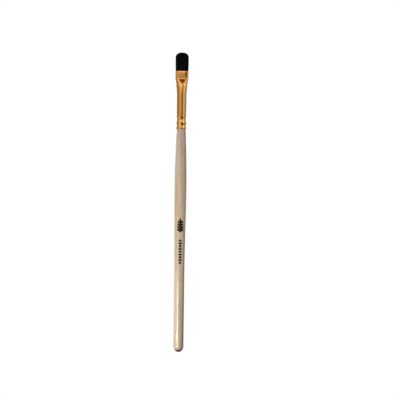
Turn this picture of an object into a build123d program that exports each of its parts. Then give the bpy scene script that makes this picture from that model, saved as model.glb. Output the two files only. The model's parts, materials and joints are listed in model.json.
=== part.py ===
from build123d import *
from math import asin, degrees, pi
import os

# A flat, round-tipped hair brush with a turned wooden handle, in millimetres.
# The brush stands on its butt end at the origin: +Z runs up its axis to the hair tip,
# X is the width of the tuft, and the two flat faces of the pressed ferrule face -Y and +Y.

# Lengths along the axis
handle_visible_length = 126.4
ferrule_length = 33.0
tuft_free_length = 10.6

# Handle
shank_radius = 2.85
shank_top = 43.7
butt_dome_height = 3.4
butt_dome_bow = 0.55
belly_radius = 3.35
belly_height = 93.0
neck_slope = -0.05
tenon_length = 11.6
tenon_chamfer = 0.4

# Ferrule: a thin round tube, pressed flat at its mouth and rolled onto the handle
barrel_radius = 2.73
barrel_taper = 0.09
wall = 0.25
mouth_depth = 2.0
crease_depth = 2.25
panel_height = 4.5
triangle_height = 2.3
shoulder_spread = 0.61
neck_height = 7.6
neck_rings = 4
apex_angle = 4.0

# Rolled crimps, as heights above the ferrule's lower end and steps from the tube's radius there
lip_step = 0.14
flare_height, flare_step = 0.7, 0.165
lower_groove_height, lower_groove_step = 2.1, -0.125
bead_height, bead_step = 3.5, 0.145
upper_groove_height, upper_groove_step = 5.6, -0.235
barrel_start_height = 7.2

# Hair
hair_clearance = 0.03
tuft_spread = 0.32
tuft_swell = 0.80
tuft_dome_height = 3.6
tuft_middle_share = 0.45
tuft_middle_spread = 0.6
tuft_middle_swell = 0.75
root_gap = 0.58
root_depth = 12.4
root_height = 3.0

# Thread round the hair root, resin and glue
thread_radius = 0.1
thread_pitch = 0.22
thread_turns = 5
thread_height = 0.7
thread_clearance = 0.02
resin_below_root = 1.0
resin_above_root = 2.0
glue_gap = 0.05

# Heights and radii worked out from those
ferrule_end = handle_visible_length
ferrule_mouth = ferrule_end + ferrule_length
brush_tip = ferrule_mouth + tuft_free_length
crease = ferrule_mouth - panel_height
shoulder = crease - triangle_height
barrel_top = shoulder - neck_height
tenon_top = ferrule_end + tenon_length
root_bottom = ferrule_mouth - root_depth
root_top = root_bottom + root_height
tail_radius = barrel_radius - barrel_taper
root_radius = barrel_radius - wall - root_gap


def pressed_half_width(depth):
    """Half the width that the round tube spreads to when it is pressed to a depth."""
    return (2 * pi * barrel_radius - (pi - 2) * depth) / 4


def pressed_ring(depth, inset, z):
    """A tube section pressed flat front and back, with round ends, made smaller by an inset."""
    end_radius = depth / 2 - inset
    flat = pressed_half_width(depth) - depth / 2
    return Plane.XY.offset(z) * make_face([
        Line((-flat, -end_radius), (flat, -end_radius)),
        ThreePointArc((flat, -end_radius), (flat + end_radius, 0), (flat, end_radius)),
        Line((flat, end_radius), (-flat, end_radius)),
        ThreePointArc((-flat, end_radius), (-flat - end_radius, 0), (-flat, -end_radius)),
    ])


def round_ring(half_width, half_depth, front_angle, z):
    """An oval in four arcs; front_angle is half the angle of the front arc and of the back one."""
    side_angle = 180 - 2 * front_angle
    starts = (270 - front_angle, 270 + front_angle, 90 - front_angle, 90 + front_angle)
    spans = (2 * front_angle, side_angle, 2 * front_angle, side_angle)
    return Plane.XY.offset(z) * make_face([
        EllipticalCenterArc((0, 0), half_width, half_depth, start, arc_size=span)
        for start, span in zip(starts, spans)
    ])


def crimp_curve(inset):
    """The rolled lower end of the ferrule in (radius, height), from its end up to the barrel."""
    steps = (
        (0, lip_step),
        (flare_height, flare_step),
        (lower_groove_height, lower_groove_step),
        (bead_height, bead_step),
        (upper_groove_height, upper_groove_step),
        (barrel_start_height, 0),
    )
    points = [(tail_radius + step - inset, ferrule_end + height) for height, step in steps]
    return Spline(*points, tangents=[(0, 1)] * len(points))


def barrel_radius_at(z):
    """Outer radius of the gently tapered barrel at a height between the crimps and the neck."""
    start = ferrule_end + barrel_start_height
    return tail_radius + barrel_taper * (z - start) / (barrel_top - start)


def spin(edges):
    """Turn a closed (radius, height) outline about the brush axis."""
    return revolve(Plane.XZ * make_face(edges), axis=Axis.Z)


def slab(bottom, top):
    """A block wider than the brush between two heights, for trimming."""
    side = 6 * barrel_radius
    return Pos(0, 0, bottom) * Box(side, side, top - bottom, align=(Align.CENTER, Align.CENTER, Align.MIN))


def ferrule_form(inset):
    """The ferrule's filled outer form, made smaller all round by an inset."""
    curve = crimp_curve(inset)
    barrel = spin([
        Line((0, ferrule_end), curve @ 0),
        curve,
        Line(curve @ 1, (barrel_radius - inset, barrel_top)),
        Line((barrel_radius - inset, barrel_top), (0, barrel_top)),
        Line((0, barrel_top), (0, ferrule_end)),
    ])
    rings = []
    for index in range(neck_rings):
        share = index / (neck_rings - 1)
        spread = shoulder_spread * share ** 2
        rings.append(round_ring(
            barrel_radius + spread - inset,
            barrel_radius - spread - inset,
            apex_angle,
            barrel_top + neck_height * share,
        ))
    neck = loft(rings)
    pressed = loft([
        rings[-1],
        pressed_ring(crease_depth, inset, crease),
        pressed_ring(mouth_depth, inset, ferrule_mouth),
    ], ruled=True)
    return barrel + neck + pressed


def ferrule():
    """Thin metal tube: round barrel with two rolled grooves, pressed flat at the mouth."""
    return ferrule_form(0) - ferrule_form(wall)


def handle():
    """Turned wooden handle: domed butt, straight shank, belly, and a tenon inside the ferrule."""
    curve = crimp_curve(wall + glue_gap)
    neck_radius = (curve @ 0).X
    tenon_radius = barrel_radius_at(tenon_top) - wall - glue_gap
    chamfer_start = tenon_top - tenon_chamfer
    start_radius = barrel_radius_at(chamfer_start) - wall - glue_gap
    return spin([
        Bezier(
            (0, 0),
            (butt_dome_bow * shank_radius, 0),
            (shank_radius, (1 - butt_dome_bow) * butt_dome_height),
            (shank_radius, butt_dome_height),
        ),
        Line((shank_radius, butt_dome_height), (shank_radius, shank_top)),
        Spline(
            (shank_radius, shank_top),
            (belly_radius, belly_height),
            tangents=[(0, 1), (0, 1)],
        ),
        Spline(
            (belly_radius, belly_height),
            (neck_radius, ferrule_end),
            tangents=[(0, 1), (neck_slope, 1)],
        ),
        curve,
        Line(curve @ 1, (start_radius, chamfer_start)),
        Line((start_radius, chamfer_start), (tenon_radius - tenon_chamfer, tenon_top)),
        Line((tenon_radius - tenon_chamfer, tenon_top), (0, tenon_top)),
        Line((0, tenon_top), (0, 0)),
    ])


def handle_glue():
    """Thin sleeve of glue between the tenon and the ferrule."""
    outside = crimp_curve(wall)
    inside = crimp_curve(wall + glue_gap)
    top = tenon_top - tenon_chamfer
    top_radius = barrel_radius_at(top) - wall
    return spin([
        Line(inside @ 0, outside @ 0),
        outside,
        Line(outside @ 1, (top_radius, top)),
        Line((top_radius, top), (top_radius - glue_gap, top)),
        Line((top_radius - glue_gap, top), inside @ 1),
        inside,
    ])


def hair_tuft():
    """The hair as one closed form: bound root, flat waist in the mouth, domed oval tuft."""
    inset = wall + hair_clearance
    waist_half_width = pressed_half_width(mouth_depth) - inset
    waist_half_depth = mouth_depth / 2 - inset
    flat = pressed_half_width(mouth_depth) - mouth_depth / 2
    front_angle = degrees(asin(flat / waist_half_width))
    half_width = waist_half_width + tuft_spread
    half_depth = waist_half_depth + tuft_swell
    dome_base = brush_tip - tuft_dome_height
    middle = ferrule_mouth + tuft_middle_share * (dome_base - ferrule_mouth)

    stem = loft([
        round_ring(root_radius, root_radius, front_angle, root_bottom),
        round_ring(root_radius, root_radius, front_angle, root_top),
        pressed_ring(crease_depth, inset, crease),
        pressed_ring(mouth_depth, inset, ferrule_mouth),
    ], ruled=True)
    body = loft([
        pressed_ring(mouth_depth, inset, ferrule_mouth),
        round_ring(
            waist_half_width + tuft_middle_spread * tuft_spread,
            waist_half_depth + tuft_middle_swell * tuft_swell,
            front_angle,
            middle,
        ),
        round_ring(half_width, half_depth, front_angle, dome_base),
    ])
    egg = Pos(0, 0, dome_base) * scale(Sphere(1), by=(half_width, half_depth, tuft_dome_height))
    dome = egg & slab(dome_base, brush_tip + tuft_dome_height)
    return stem + body + dome


def binding_thread():
    """Thread wound round the hair root to hold the bundle together."""
    radius = root_radius + thread_clearance + thread_radius
    start = root_bottom + thread_height
    helix = Helix(thread_pitch, thread_pitch * thread_turns, radius, center=(0, 0, start))
    section = Plane(helix @ 0, z_dir=helix % 0) * Circle(thread_radius)
    return sweep(section, path=helix, is_frenet=True)


def resin_plug(tuft):
    """Cast resin that locks the bound hair root into the ferrule's neck."""
    fill = ferrule_form(wall) & slab(root_bottom - resin_below_root, root_top + resin_above_root)
    pocket_bottom = root_bottom + thread_height - thread_radius - thread_clearance
    pocket_height = thread_pitch * thread_turns + 2 * (thread_radius + thread_clearance)
    pocket = Pos(0, 0, pocket_bottom) * Cylinder(
        root_radius + 2 * (thread_radius + thread_clearance),
        pocket_height,
        align=(Align.CENTER, Align.CENTER, Align.MIN),
    )
    return fill - pocket - tuft


tuft = hair_tuft()
pieces = {
    "handle": handle(),
    "ferrule": ferrule(),
    "hair_tuft": tuft,
    "binding_thread": binding_thread(),
    "resin_plug": resin_plug(tuft),
    "handle_glue": handle_glue(),
}

os.makedirs("parts", exist_ok=True)
for name, piece in pieces.items():
    export_step(piece, f"parts/{name}.step")
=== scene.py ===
"""A flat, round-tipped hair brush: turned handle, rolled metal ferrule and a tuft of separate hairs."""

import json
import logging
import math
from dataclasses import dataclass
from enum import Enum

import bpy
import numpy as np
from mathutils import Matrix
from mathutils import Vector


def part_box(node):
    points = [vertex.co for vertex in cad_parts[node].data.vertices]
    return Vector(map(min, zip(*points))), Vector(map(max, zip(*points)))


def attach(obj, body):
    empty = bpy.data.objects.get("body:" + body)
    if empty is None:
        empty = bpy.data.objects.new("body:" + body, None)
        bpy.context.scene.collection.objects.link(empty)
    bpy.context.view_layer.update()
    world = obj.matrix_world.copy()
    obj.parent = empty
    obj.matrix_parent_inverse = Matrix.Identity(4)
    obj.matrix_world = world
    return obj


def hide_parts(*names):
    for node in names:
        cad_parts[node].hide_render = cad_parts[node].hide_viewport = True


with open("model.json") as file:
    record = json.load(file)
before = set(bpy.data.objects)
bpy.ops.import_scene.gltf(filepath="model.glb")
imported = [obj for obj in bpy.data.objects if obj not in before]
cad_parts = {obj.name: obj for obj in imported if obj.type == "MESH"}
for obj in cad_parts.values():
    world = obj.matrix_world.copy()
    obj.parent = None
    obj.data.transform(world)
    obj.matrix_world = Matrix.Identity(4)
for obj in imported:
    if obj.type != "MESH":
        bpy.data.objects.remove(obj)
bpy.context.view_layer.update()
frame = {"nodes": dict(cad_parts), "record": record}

LOG = logging.getLogger("brush")
MM = 0.001
PER_METRE = 1000.0
GOLDEN_ANGLE = math.pi * (3.0 - math.sqrt(5.0))
SQUARE = ((-1, -1), (1, -1), (1, 1), (-1, 1))

Pair = tuple[float, float]
Triple = tuple[float, float, float]
Tint = Triple
Colour = tuple[float, float, float, float]
Faces = list[list[int]]
Form = tuple[np.ndarray, Faces]
Piece = bpy.types.Object
Material = bpy.types.Material
NodeTree = bpy.types.NodeTree
NodeSocket = bpy.types.NodeSocket


class Socket(Enum):
    """Socket types that a shader node group can carry."""

    VALUE = "NodeSocketFloat"
    VECTOR = "NodeSocketVector"


class InkShape(Enum):
    """Outlines that a stroke of printed ink can have."""

    BAR = "bar"
    LOZENGE = "lozenge"
    DOT = "dot"
    LEAF = "leaf"


# Mesh helpers


def smooth_share(value: float, start: float, end: float) -> float:
    """Says how far a value has come between two others, eased at both ends.

    Args:
        value: the value to place.
        start: where the share is 0.
        end: where the share is 1.

    Returns:
        The eased share, from 0 to 1.
    """
    share = min(1.0, max(0.0, (value - start) / (end - start)))
    return share * share * (3.0 - 2.0 * share)


def hermite(start: Pair, end: Pair, slopes: Pair, count: int) -> list[Pair]:
    """Draws a smooth outline between two (radius, height) points.

    Args:
        start: the first point.
        end: the last point.
        slopes: change of radius with height at the first and at the last point.
        count: how many points to give, the last one included and the first one not.

    Returns:
        The outline's (radius, height) points.
    """
    length = end[1] - start[1]
    points = []
    for index in range(1, count + 1):
        share = index / count
        square, cube = share ** 2, share ** 3
        radius = (
            start[0] * (2 * cube - 3 * square + 1)
            + slopes[0] * length * (cube - 2 * square + share)
            + end[0] * (3 * square - 2 * cube)
            + slopes[1] * length * (cube - square)
        )
        points.append((radius, start[1] + length * share))
    return points


def bell(sigma: float) -> tuple[np.ndarray, np.ndarray]:
    """Draws a bell curve.

    Args:
        sigma: its width, in points.

    Returns:
        Offsets from its middle, and their weights.
    """
    reach = math.ceil(3 * sigma)
    offsets = np.arange(-reach, reach + 1)
    weights = np.exp(-0.5 * (offsets / sigma) ** 2)
    return offsets, weights / weights.sum()


def soften(grid: np.ndarray, upward: float, around: float) -> np.ndarray:
    """Softens a grid of points from ring to ring, and then round its closed rings.

    Args:
        grid: points, indexed by ring and then by place in the ring.
        upward: width of the softening from ring to ring, in points.
        around: its width round the rings.

    Returns:
        The softened grid. Past its ends, the first and last rings go on in their own direction.
    """
    offsets, weights = bell(upward)
    reach = offsets[-1]
    before = [grid[0] - (grid[1] - grid[0]) * step for step in range(reach, 0, -1)]
    after = [grid[-1] + (grid[-1] - grid[-2]) * step for step in range(1, reach + 1)]
    padded = np.concatenate([before, grid, after])
    grid = sum(weight * padded[index:index + len(grid)] for index, weight in enumerate(weights))
    return sum(weight * np.roll(grid, offset, axis=1) for offset, weight in zip(*bell(around)))


def level(across: np.ndarray, deep: np.ndarray, height: float) -> np.ndarray:
    """Gives the points of a flat ring their height."""
    return np.column_stack([across, deep, np.full(len(across), height)])


def squareness(angles: np.ndarray, power: object) -> np.ndarray:
    """Gives the reach of a rounded square in each direction; a power of 2 is a circle of reach 1."""
    return (np.abs(np.cos(angles)) ** power + np.abs(np.sin(angles)) ** power) ** (-1 / power)


def round_axis(azimuth: float, distance: float, height: float) -> Vector:
    """Gives a point in metres by its azimuth in degrees, its distance from the axis and its height."""
    turn = math.radians(azimuth)
    return Vector((math.sin(turn) * distance, -math.cos(turn) * distance, height))


def ring_faces(rows: int, count: int, closed: bool = False) -> Faces:
    """Joins a stack of rings with four-sided faces.

    Args:
        rows: how many rings there are.
        count: points in each ring.
        closed: True to join the last ring to the first one too.

    Returns:
        The faces. They look outwards where the rings run anticlockwise and upwards.
    """
    faces = []
    for row in range(rows if closed else rows - 1):
        low, high = row * count, (row + 1) % rows * count
        for place in range(count):
            turn = (place + 1) % count
            faces.append([low + place, low + turn, high + turn, high + place])
    return faces


def capped(rings: list[np.ndarray], bottom: list[float], top: list[float]) -> Form:
    """Closes a stack of rings with a fan at each end.

    Args:
        rings: the rings from the bottom up, with equal numbers of points.
        bottom: the lower fan's middle.
        top: the upper fan's middle.

    Returns:
        The corners and the faces of the closed form.
    """
    count = len(rings[0])
    corners = np.vstack([*rings, [bottom], [top]])
    faces = ring_faces(len(rings), count)
    low, high = len(corners) - 2, len(corners) - 1
    last = (len(rings) - 1) * count
    for place in range(count):
        turn = (place + 1) % count
        faces.append([low, turn, place])
        faces.append([high, last + place, last + turn])
    return corners, faces


def add_piece(name: str, corners: np.ndarray, faces: Faces, finish: Material,
              stands_for: str | None = None) -> Piece:
    """Makes a smooth-shaded mesh piece that rides on the brush.

    Args:
        name: the piece's name.
        corners: its corners, in millimetres.
        faces: its faces, as lists of corner numbers.
        finish: its material.
        stands_for: the CAD node that it replaces, if any.

    Returns:
        The new object.
    """
    mesh = bpy.data.meshes.new(name)
    mesh.from_pydata((np.asarray(corners) * MM).tolist(), [], faces)
    mesh.shade_smooth()
    mesh.materials.append(finish)
    piece = bpy.data.objects.new(name, mesh)
    bpy.context.scene.collection.objects.link(piece)
    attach(piece, "root")
    if stands_for:
        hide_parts(stands_for)
    LOG.info("%s: %d corners, %d faces", name, len(mesh.vertices), len(mesh.polygons))
    return piece


# Shader helpers


@dataclass
class Sketch:
    """A node tree being drawn, with short ways to add nodes and join them.

    Attributes:
        tree: the node tree.
    """

    tree: NodeTree

    def fill(self, node: bpy.types.Node, inputs: dict) -> bpy.types.Node:
        """Sets or joins a node's inputs.

        Args:
            node: the node.
            inputs: socket names or numbers, each with a value or with an output socket to join.

        Returns:
            The same node.
        """
        for key, value in inputs.items():
            if isinstance(value, NodeSocket):
                self.tree.links.new(value, node.inputs[key])
            else:
                node.inputs[key].default_value = value
        return node

    def add(self, kind: str, inputs: dict | None = None, **settings: object) -> bpy.types.Node:
        """Adds a node.

        Args:
            kind: the node's type, without the leading ShaderNode.
            inputs: as for fill.
            **settings: the node's own properties.

        Returns:
            The new node.
        """
        node = self.tree.nodes.new("ShaderNode" + kind)
        for key, value in settings.items():
            setattr(node, key, value)
        return self.fill(node, inputs or {})

    def maths(self, operation: str, first: object, second: object = 0.0) -> NodeSocket:
        """Does a sum with one or two values.

        Args:
            operation: the Math node's operation.
            first: first value or socket.
            second: second value or socket.

        Returns:
            The result's socket.
        """
        return self.add("Math", {0: first, 1: second}, operation=operation).outputs[0]

    def scaled(self, vector: NodeSocket, factors: Triple) -> NodeSocket:
        """Multiplies a vector part by part and returns the result's socket."""
        return self.add("VectorMath", {0: vector, 1: factors}, operation="MULTIPLY").outputs[0]

    def parts(self, vector: NodeSocket) -> bpy.types.NodeOutputs:
        """Splits a vector and returns its three sockets."""
        return self.add("SeparateXYZ", {0: vector}).outputs

    def noise(self, vector: NodeSocket, detail: float, roughness: float) -> NodeSocket:
        """Adds a noise of unit size and returns its value socket."""
        inputs = {"Vector": vector, "Scale": 1.0, "Detail": detail, "Roughness": roughness}
        return self.add("TexNoise", inputs).outputs["Fac"]

    def band(self, value: object, start: float, end: float, low: float = 0.0,
             high: float = 1.0) -> NodeSocket:
        """Eases a value from one range into another.

        Args:
            value: the value or socket.
            start: where the result is low.
            end: where the result is high.
            low: the result at the start.
            high: the result at the end.

        Returns:
            The result's socket.
        """
        inputs = {"Value": value, "From Min": start, "From Max": end, "To Min": low, "To Max": high}
        return self.add("MapRange", inputs, interpolation_type="SMOOTHSTEP").outputs["Result"]

    def mixed(self, share: object, first: object, second: object, blend: str = "MIX") -> NodeSocket:
        """Mixes two colours.

        Args:
            share: how much of the second colour, a value or a socket.
            first: first colour or socket.
            second: second colour or socket.
            blend: how they mix.

        Returns:
            The colour's socket.
        """
        inputs = {0: share, 6: first, 7: second}
        return self.add("Mix", inputs, data_type="RGBA", blend_type=blend).outputs[2]

    def ramp(self, value: NodeSocket, stops: dict[float, Tint]) -> NodeSocket:
        """Reads a colour from a list of stops.

        Args:
            value: the socket that picks the place, from 0 to 1.
            stops: the places and the colour at each.

        Returns:
            The colour's socket.
        """
        node = self.add("ValToRGB", {0: value})
        node.color_ramp.interpolation = "EASE"
        elements = node.color_ramp.elements
        while len(elements) < len(stops):
            elements.new(0.5)
        for element, (place, tint) in zip(elements, sorted(stops.items())):
            element.position = place
            element.color = (*tint, 1.0)
        return node.outputs[0]

    def placed(self, group: NodeTree, inputs: dict) -> dict[str, NodeSocket]:
        """Places a shared node group with its own values and returns its output sockets by name."""
        node = self.fill(self.add("Group", node_tree=group), inputs)
        return {socket.name: socket for socket in node.outputs}

    def stretched(self, place: NodeSocket, width: object, length: object) -> NodeSocket:
        """Stretches space so that a texture of unit size gets a width and a length along the brush.

        Args:
            place: position in millimetres.
            width: size across the brush, a value or a socket.
            length: size along the brush, a value or a socket.

        Returns:
            The stretched position's socket.
        """
        east, north, up = self.parts(place)
        inputs = {
            0: self.maths("DIVIDE", east, width),
            1: self.maths("DIVIDE", north, width),
            2: self.maths("DIVIDE", up, length),
        }
        return self.add("CombineXYZ", inputs).outputs[0]


def start_group(name: str, values: dict[str, float], gives: tuple[str, ...]) -> tuple[Sketch, dict, dict]:
    """Starts a shader node group that takes a position and some values.

    Args:
        name: the group's name.
        values: names of its number inputs, each with its default.
        gives: names of its number outputs.

    Returns:
        The sketch to draw in, the input sockets by name and the output sockets by name.
    """
    tree = bpy.data.node_groups.new(name, "ShaderNodeTree")
    tree.interface.new_socket("Position", in_out="INPUT", socket_type=Socket.VECTOR.value)
    for label, default in values.items():
        socket = tree.interface.new_socket(label, in_out="INPUT", socket_type=Socket.VALUE.value)
        socket.default_value = default
    for label in gives:
        tree.interface.new_socket(label, in_out="OUTPUT", socket_type=Socket.VALUE.value)
    taken = tree.nodes.new("NodeGroupInput").outputs
    given = tree.nodes.new("NodeGroupOutput").inputs
    return Sketch(tree), {socket.name: socket for socket in taken}, {socket.name: socket for socket in given}


def blank_material(name: str) -> tuple[Material, Sketch]:
    """Starts a material that has no nodes yet.

    Args:
        name: the material's name.

    Returns:
        The material and the sketch to draw it in.
    """
    material = bpy.data.materials.new(name)
    material.use_nodes = True
    material.node_tree.nodes.clear()
    return material, Sketch(material.node_tree)


# Shared effects, and the surface that they are laid on


@dataclass(frozen=True)
class Effects:
    """The node groups that several finishes share.

    Attributes:
        haze: soft uneven patches, as of handling and polish.
        lines: fine lines along the brush, as of drawing, sanding or combing.
        flecks: small scattered flecks, longer along the brush.
    """

    haze: NodeTree
    lines: NodeTree
    flecks: NodeTree

    @classmethod
    def build(cls) -> "Effects":
        """Builds the three groups once."""
        return cls(cls.build_haze(), cls.build_lines(), cls.build_flecks())

    @staticmethod
    def build_haze() -> NodeTree:
        """Draws the group of uneven patches, with the patch size as its input.

        Returns:
            The group.
        """
        sketch, taken, given = start_group("surface_haze", {"Patch size": 3.0}, ("Mask",))
        place = sketch.stretched(taken["Position"], taken["Patch size"], taken["Patch size"])
        sketch.tree.links.new(sketch.band(sketch.noise(place, 4.0, 0.55), 0.35, 0.68), given["Mask"])
        return sketch.tree

    @staticmethod
    def build_lines() -> NodeTree:
        """Draws the group of fine lines, with their width and length as its inputs.

        Returns:
            The group.
        """
        values = {"Line width": 0.1, "Line length": 8.0}
        sketch, taken, given = start_group("drawn_lines", values, ("Mask", "Height"))
        place = sketch.stretched(taken["Position"], taken["Line width"], taken["Line length"])
        lines = sketch.noise(place, 4.0, 0.62)
        sketch.tree.links.new(sketch.band(lines, 0.3, 0.7), given["Mask"])
        sketch.tree.links.new(lines, given["Height"])
        return sketch.tree

    @staticmethod
    def build_flecks() -> NodeTree:
        """Draws the group of flecks, with their width, length and frequency as its inputs.

        Returns:
            The group.
        """
        values = {"Fleck width": 0.3, "Fleck length": 1.5, "Share": 0.4}
        sketch, taken, given = start_group("flecks", values, ("Mask",))
        place = sketch.stretched(taken["Position"], taken["Fleck width"], taken["Fleck length"])
        cells = sketch.add("TexVoronoi", {"Vector": place, "Scale": 0.5}).outputs
        chance = sketch.add("SeparateColor", {0: cells["Color"]}).outputs[0]
        chosen = sketch.maths("LESS_THAN", chance, taken["Share"])
        shape = sketch.band(cells["Distance"], 0.16, 0.34, 1.0, 0.0)
        sketch.tree.links.new(sketch.maths("MULTIPLY", chosen, shape), given["Mask"])
        return sketch.tree


@dataclass
class Surface(Sketch):
    """A material being drawn, with the shared effects at hand.

    Attributes:
        material: the material.
        effects: the shared node groups.
        place: position on the surface, in millimetres.
    """

    material: Material
    effects: Effects
    place: NodeSocket

    @classmethod
    def start(cls, name: str, effects: Effects) -> "Surface":
        """Starts a material.

        Args:
            name: the material's name.
            effects: the shared node groups.

        Returns:
            The surface to draw on.
        """
        material, sketch = blank_material(name)
        place = sketch.scaled(sketch.add("TexCoord").outputs["Object"], (PER_METRE, PER_METRE, PER_METRE))
        return cls(sketch.tree, material, effects, place)

    def lines(self, width: float, length: float) -> dict[str, NodeSocket]:
        """Lays fine lines along the brush and returns their Mask and Height."""
        values = {"Position": self.place, "Line width": width, "Line length": length}
        return self.placed(self.effects.lines, values)

    def haze(self, size: float, squeeze: float = 1.0) -> NodeSocket:
        """Lays soft patches and returns their mask; squeeze scales space along the brush."""
        place = self.scaled(self.place, (1.0, 1.0, squeeze))
        return self.placed(self.effects.haze, {"Position": place, "Patch size": size})["Mask"]

    def relief(self, height: NodeSocket, strength: float, depth: float) -> NodeSocket:
        """Turns a height into a normal; depth is in millimetres."""
        return self.add("Bump", {"Strength": strength, "Distance": depth * MM, "Height": height}).outputs[0]

    def finish(self, inputs: dict) -> Material:
        """Puts a Principled shader on the surface.

        Args:
            inputs: what the shader takes, as for fill.

        Returns:
            The finished material.
        """
        shader = self.add("BsdfPrincipled", inputs)
        self.add("OutputMaterial", {"Surface": shader.outputs[0]})
        return self.material


# Finishes


@dataclass(frozen=True)
class LacqueredWood:
    """Pale close-grained wood under a clear satin lacquer.

    Attributes:
        pale: colour of the early wood.
        palest: colour that it drifts to towards the butt.
        dark: colour of the late-wood lines and fibres.
        blush: colour of the soft warm patches.
        straw: colour of the soft greenish-yellow patches.
        grey: colour that the wood drifts to under the ferrule.
        fleck: colour of the small flecks.
        painted_butt_shade: colour of the painted shade on the underside of the butt's dome.
        ring_spacing: distance between growth rings, in millimetres.
        ring_tilt: how far the rings lean across for each millimetre along the handle.
        ring_sway: how far the rings wander, in millimetres.
        tree_centre: where the middle of the tree lay, in millimetres.
        pale_heights: heights between which the wood turns paler, in millimetres.
        grey_heights: heights between which the wood turns greyer, in millimetres.
        butt_shade_heights: heights between which the painted shade on the butt's underside sets in and the
            clear coat thins, in millimetres.
        fleck_depth: how deep the flecks lie, as a share of the fibres' relief.
        roughness: of the wood between its fibres and on them.
        lacquer: weight of the clear coat, outside the soft patches and in them.
        end_lacquer: share of that weight left on the end grain.
        lacquer_roughness: roughness of the clear coat.
    """

    pale: Colour = (0.81, 0.705, 0.455, 1.0)
    palest: Colour = (0.83, 0.775, 0.57, 1.0)
    dark: Colour = (0.40, 0.285, 0.155, 1.0)
    blush: Colour = (0.76, 0.52, 0.36, 1.0)
    straw: Colour = (0.62, 0.57, 0.33, 1.0)
    grey: Colour = (0.55, 0.48, 0.36, 1.0)
    fleck: Colour = (0.27, 0.17, 0.09, 1.0)
    painted_butt_shade: Colour = (0.11, 0.066, 0.020, 1.0)
    ring_spacing: float = 2.3
    ring_tilt: float = 0.045
    ring_sway: float = 3.2
    tree_centre: Pair = (26.0, 31.0)
    pale_heights: Pair = (80.0, 45.0)
    grey_heights: Pair = (84.0, 124.0)
    butt_shade_heights: Pair = (2.1, 1.1)
    fleck_depth: float = 0.6
    roughness: Pair = (0.44, 0.60)
    lacquer: Pair = (0.8, 0.68)
    end_lacquer: float = 0.15
    lacquer_roughness: float = 0.135

    def late_wood(self, wood: Surface) -> NodeSocket:
        """Draws the growth rings of the tree, cut by the handle's surface.

        Args:
            wood: the surface to draw on.

        Returns:
            A mask of the darker late wood.
        """
        east, north, up = wood.parts(wood.place)
        slow = wood.noise(wood.scaled(wood.place, (0.25, 0.25, 0.035)), 2.0, 0.5)
        sway = wood.maths("MULTIPLY", slow, self.ring_sway)
        lean = wood.maths("MULTIPLY", up, self.ring_tilt)
        centre = wood.add("CombineXYZ", {
            0: wood.maths("ADD", wood.maths("ADD", east, self.tree_centre[0]), lean),
            1: wood.maths("ADD", wood.maths("ADD", north, self.tree_centre[1]), sway),
        }).outputs[0]
        reach = wood.add("VectorMath", {0: centre}, operation="LENGTH").outputs["Value"]
        turn = wood.maths("FRACT", wood.maths("DIVIDE", reach, self.ring_spacing))
        rise, fall = wood.band(turn, 0.35, 0.86), wood.band(turn, 0.88, 0.99, 1.0, 0.0)
        return wood.maths("MULTIPLY", rise, fall)

    def make(self, effects: Effects) -> Material:
        """Builds the material.

        Args:
            effects: the shared node groups.

        Returns:
            The material.
        """
        wood = Surface.start("lacquered_pale_wood", effects)
        height = wood.parts(wood.place)[2]
        fibres, bands = wood.lines(0.22, 14.0), wood.lines(0.9, 45.0)
        haze, streaks = wood.haze(9.0), wood.haze(2.4, 0.22)
        flecks = wood.placed(effects.flecks, {
            "Position": wood.place, "Fleck width": 0.42, "Fleck length": 2.2, "Share": 0.34,
        })["Mask"]
        # Each layer is a mask, how strongly it shows, and its colour
        layers = (
            (wood.band(height, *self.pale_heights), 0.70, self.palest),
            (self.late_wood(wood), 0.42, self.dark),
            (fibres["Mask"], 0.40, self.dark),
            (bands["Mask"], 0.36, self.dark),
            (streaks, 0.42, self.straw),
            (flecks, 0.62, self.fleck),
            (wood.band(height, *self.grey_heights), 0.40, self.grey),
            (haze, 0.34, self.blush),
            # Painted shade on the underside of the butt's dome
            (wood.band(height, *self.butt_shade_heights), 0.95, self.painted_butt_shade),
        )
        colour = self.pale
        for mask, strength, tint in layers:
            colour = wood.mixed(wood.maths("MULTIPLY", mask, strength), colour, tint)
        grain = wood.maths("ADD", fibres["Height"], wood.maths("MULTIPLY", flecks, -self.fleck_depth))
        return wood.finish({
            "Base Color": colour,
            "Roughness": wood.band(fibres["Mask"], 0.0, 1.0, *self.roughness),
            "Normal": wood.relief(grain, 0.25, 0.02),
            "Coat Weight": wood.maths(
                "MULTIPLY",
                wood.band(haze, 0.0, 1.0, *self.lacquer),
                wood.band(height, *self.butt_shade_heights, 1.0, self.end_lacquer),
            ),
            "Coat Roughness": self.lacquer_roughness,
            "Specular IOR Level": 0.3,
        })


@dataclass(frozen=True)
class BrightMetal:
    """Copper-gold metal, drawn into a tube and lightly polished.

    Attributes:
        clean: colour of the polished metal.
        dull: colour where it has dulled a little.
        roughness: least and most roughness.
    """

    clean: Colour = (0.90, 0.50, 0.122, 1.0)
    dull: Colour = (0.84, 0.43, 0.085, 1.0)
    roughness: Pair = (0.10, 0.17)

    def make(self, effects: Effects) -> Material:
        """Builds the material.

        Args:
            effects: the shared node groups.

        Returns:
            The material.
        """
        metal = Surface.start("copper_gold_metal", effects)
        lines = metal.lines(0.07, 5.0)
        worn = metal.maths("MULTIPLY", metal.haze(2.2), 0.45)
        unevenness = metal.maths("ADD", worn, metal.maths("MULTIPLY", lines["Mask"], 0.4))
        return metal.finish({
            "Base Color": metal.mixed(worn, self.clean, self.dull),
            "Metallic": 1.0,
            "Roughness": metal.band(unevenness, 0.0, 0.9, *self.roughness),
            "Normal": metal.relief(lines["Height"], 0.06, 0.01),
        })


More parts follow.
